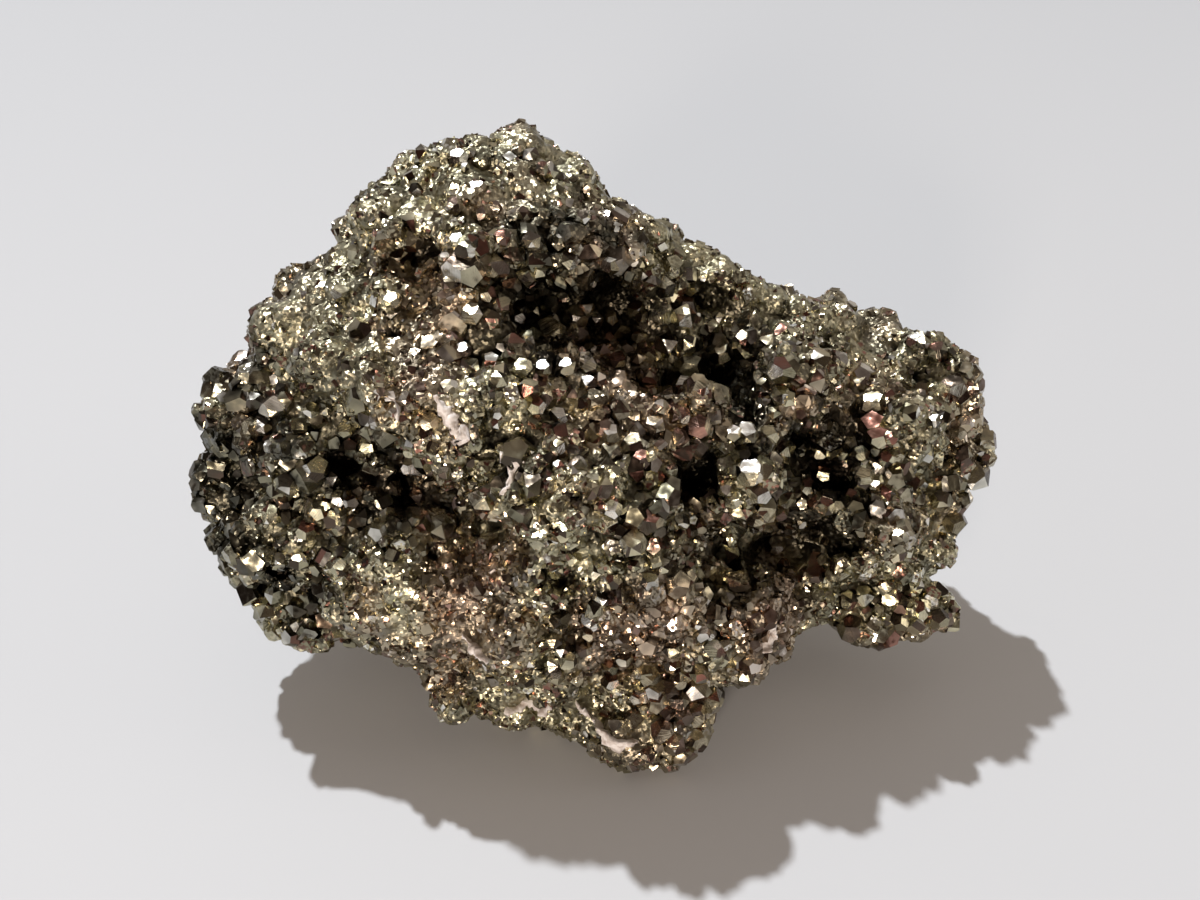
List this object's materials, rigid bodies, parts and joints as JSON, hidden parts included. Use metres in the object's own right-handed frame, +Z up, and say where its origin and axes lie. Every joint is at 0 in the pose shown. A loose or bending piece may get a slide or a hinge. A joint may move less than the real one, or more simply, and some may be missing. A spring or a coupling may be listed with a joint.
{
  "type": "pyrite specimen",
  "caption": "Hand-sized mass of intergrown pyrite crystals with a craggy crown, overhanging side lobes and a crystal-lined hollow, resting on a broken face.",
  "frame": {"origin": "middle of the footprint's bounding box, on the surface that the specimen rests on", "axes": "+X along the length towards the lobe with two small nubs, +Y from the hollowed front to the back, +Z up"},
  "size_m": [0.13, 0.0802, 0.083],
  "materials": {
    "pyrite": "metallic crystal faces, tarnished brass grey"
  },
  "bodies": {
    "root": {"pyrite_cluster": "pyrite"}
  },
  "joints": []
}
